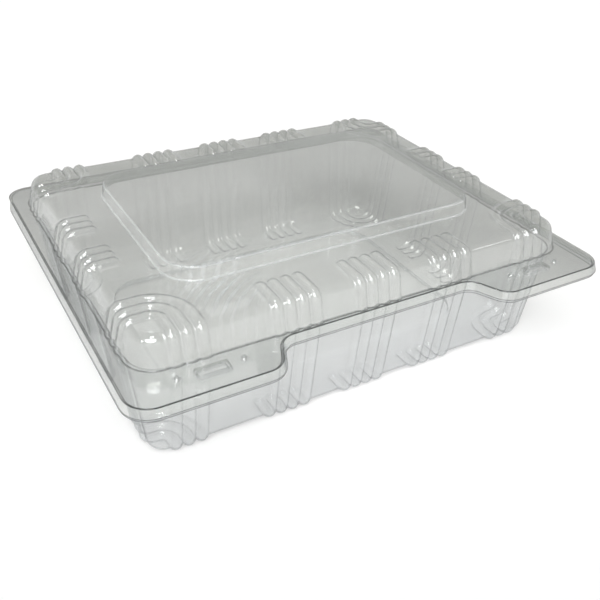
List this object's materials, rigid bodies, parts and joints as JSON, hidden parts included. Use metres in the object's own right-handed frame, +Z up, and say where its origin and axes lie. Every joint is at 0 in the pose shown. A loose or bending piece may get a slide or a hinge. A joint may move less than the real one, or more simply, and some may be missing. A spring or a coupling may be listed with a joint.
{
  "type": "clamshell pack",
  "caption": "Clear plastic clamshell pack with a hinged, ridged shallow lid over a deep ridged tray, a raised flat panel on top and press-together locks on two front tabs.",
  "frame": {"origin": "on the surface that the pack stands on, under the middle of its closed outline", "axes": "+X along the opening front, left to right as seen from the front; +Y towards the folded rear edge; +Z up"},
  "size_m": [0.2632, 0.2216, 0.0781],
  "materials": {
    "clear_sheet": "clear glossy formed plastic sheet"
  },
  "bodies": {
    "base": {"base_tray": "clear_sheet"},
    "lid": {"lid": "clear_sheet"}
  },
  "joints": [
    {"name": "lid_hinge", "type": "hinge", "parent": "base", "child": "lid", "pos_m": [0, 0.111, 0.05635], "axis": [-1, 0, 0], "range_deg": [0, 180]}
  ]
}
